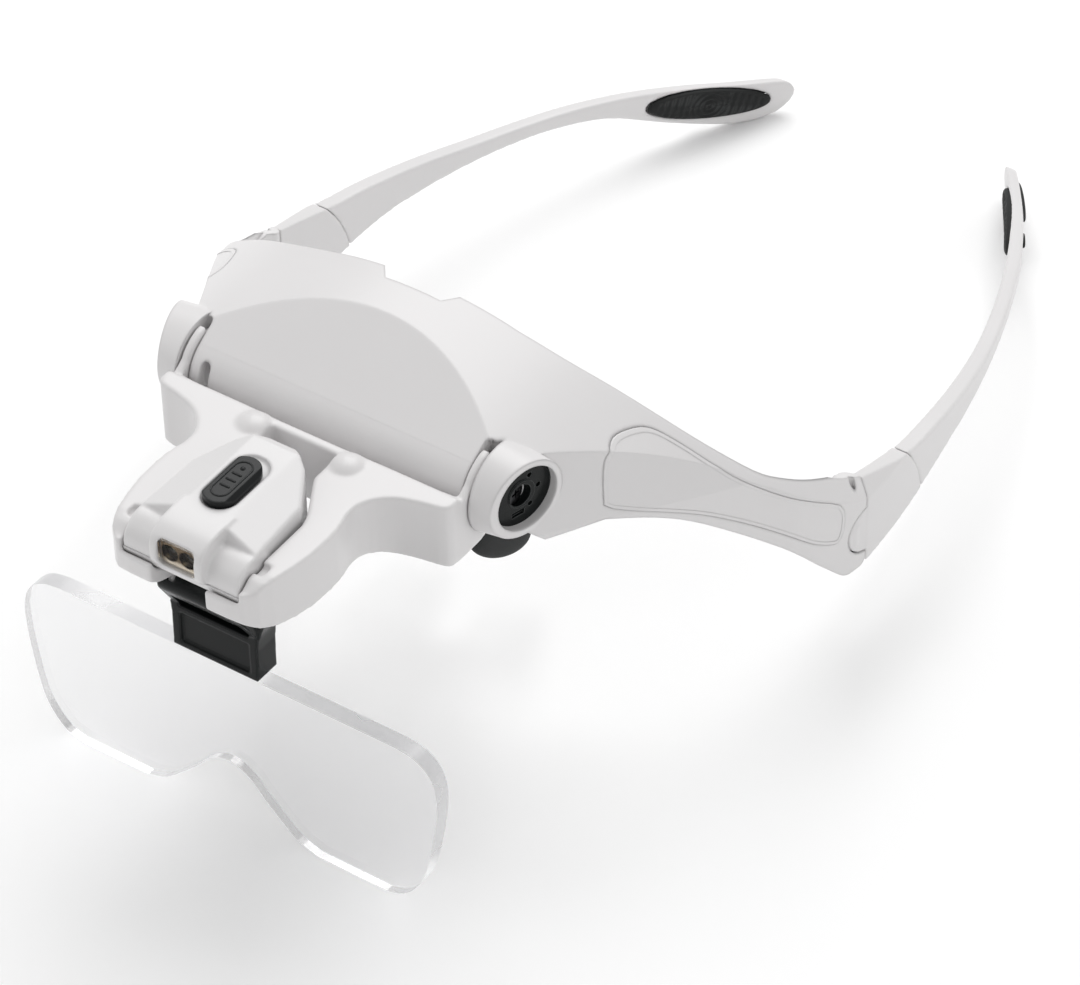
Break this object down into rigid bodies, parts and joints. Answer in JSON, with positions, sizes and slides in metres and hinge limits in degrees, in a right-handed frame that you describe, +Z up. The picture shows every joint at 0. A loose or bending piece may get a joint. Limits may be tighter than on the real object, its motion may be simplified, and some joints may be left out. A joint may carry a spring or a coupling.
{
  "type": "headband magnifier",
  "caption": "Hands-free magnifier worn like spectacles: hinged side arms, and a flip-up arm with a tilting lamp and a clear clip-on lens.",
  "frame": {"origin": "middle of the bounding box, on the plane that the part stands on: the lens's lower rims and the arm tips touch z = 0", "axes": "+Z up; -Y towards the lens and lamp, +Y towards the ear tips; +X towards the right seen from the front, which is the wearer's left"},
  "size_m": [0.158, 0.2784, 0.0933],
  "materials": {
    "white_plastic": "white ABS, satin gloss",
    "black_plastic": "black ABS, fine satin",
    "soft_rubber": "soft black elastomer",
    "screw_steel": "zinc plated steel",
    "black_steel": "black oxide steel",
    "pin_steel": "bright steel pin and washer stock",
    "cell_steel": "nickel plated cell cans",
    "contact_brass": "sheet brass leaf",
    "board_laminate": "glass epoxy laminate with green resist",
    "switch_nylon": "moulded nylon",
    "led_epoxy": "clear epoxy dome",
    "window_clear": "clear acrylic pane",
    "reflector_plate": "vacuum plated plastic, warm",
    "clear_lens": "clear acrylic, polished"
  },
  "bodies": {
    "frame": {"brow_shell": "white_plastic", "side_panel_left": "white_plastic", "side_panel_right": "white_plastic", "pivot_cap_left": "black_plastic", "pivot_cap_right": "black_plastic", "pivot_screw_left": "black_steel", "pivot_screw_right": "black_steel", "pivot_washer_left": "pin_steel", "pivot_washer_right": "pin_steel", "nose_bridge": "white_plastic", "nose_bridge_screws": "screw_steel", "nose_pad_left": "soft_rubber", "nose_pad_right": "soft_rubber", "hinge_pin_left": "pin_steel", "hinge_pin_right": "pin_steel"},
    "arm": {"lens_arm": "white_plastic", "clip_pin": "pin_steel"},
    "lamp": {"lamp_cover": "white_plastic", "lamp_base": "white_plastic", "led_window": "window_clear", "reflector": "reflector_plate", "leds": "led_epoxy", "circuit_board": "board_laminate", "button_cells": "cell_steel", "battery_contacts": "contact_brass", "switch_body": "switch_nylon", "lamp_screws": "screw_steel"},
    "switch": {"switch_slider": "black_plastic"},
    "battery_door": {"battery_cap": "white_plastic"},
    "clip": {"lens_clip": "black_plastic"},
    "lens": {"magnifier_lens": "clear_lens"},
    "hinge_left": {"hinge_block_left": "white_plastic"},
    "hinge_right": {"hinge_block_right": "white_plastic"},
    "temple_left": {"temple_arm_left": "white_plastic", "ear_pad_inner_left": "soft_rubber", "ear_pad_outer_left": "soft_rubber"},
    "temple_right": {"temple_arm_right": "white_plastic", "ear_pad_inner_right": "soft_rubber", "ear_pad_outer_right": "soft_rubber"}
  },
  "joints": [
    {"name": "arm_flip", "type": "hinge", "parent": "frame", "child": "arm", "pos_m": [0, -0.08135, 0.0752], "axis": [-1, 0, 0], "range_deg": [0, 55]},
    {"name": "lamp_tilt", "type": "hinge", "parent": "arm", "child": "lamp", "pos_m": [0, -0.13205, 0.077], "axis": [1, 0, 0], "range_deg": [0, 25]},
    {"name": "switch_slide", "type": "slide", "parent": "lamp", "child": "switch", "axis": [0, 1, 0], "range_m": [0, 0.002]},
    {"name": "battery_door_turn", "type": "hinge", "parent": "lamp", "child": "battery_door", "pos_m": [0, -0.11455, 0.0704], "axis": [0, 0, 1], "range_deg": [0, 45]},
    {"name": "lens_tilt", "type": "hinge", "parent": "arm", "child": "clip", "pos_m": [0, -0.12965, 0.0648], "axis": [-1, 0, 0], "range_deg": [-15, 30]},
    {"name": "lens_pull", "type": "slide", "parent": "clip", "child": "lens", "axis": [0, -0.0304, -0.9995], "range_m": [0, 0.01]},
    {"name": "fold_right", "type": "hinge", "parent": "frame", "child": "hinge_right", "pos_m": [0.0766, -0.00905, 0.027], "axis": [0, 0, 1], "range_deg": [0, 70]},
    {"name": "fold_left", "type": "hinge", "parent": "frame", "child": "hinge_left", "pos_m": [-0.0766, -0.00905, 0.027], "axis": [0, 0, 1], "range_deg": [-70, 0]},
    {"name": "pull_off_right", "type": "slide", "parent": "hinge_right", "child": "temple_right", "axis": [-0.075, 0.9972, 0], "range_m": [0, 0.01]},
    {"name": "pull_off_left", "type": "slide", "parent": "hinge_left", "child": "temple_left", "axis": [0.075, 0.9972, 0], "range_m": [0, 0.01]}
  ]
}
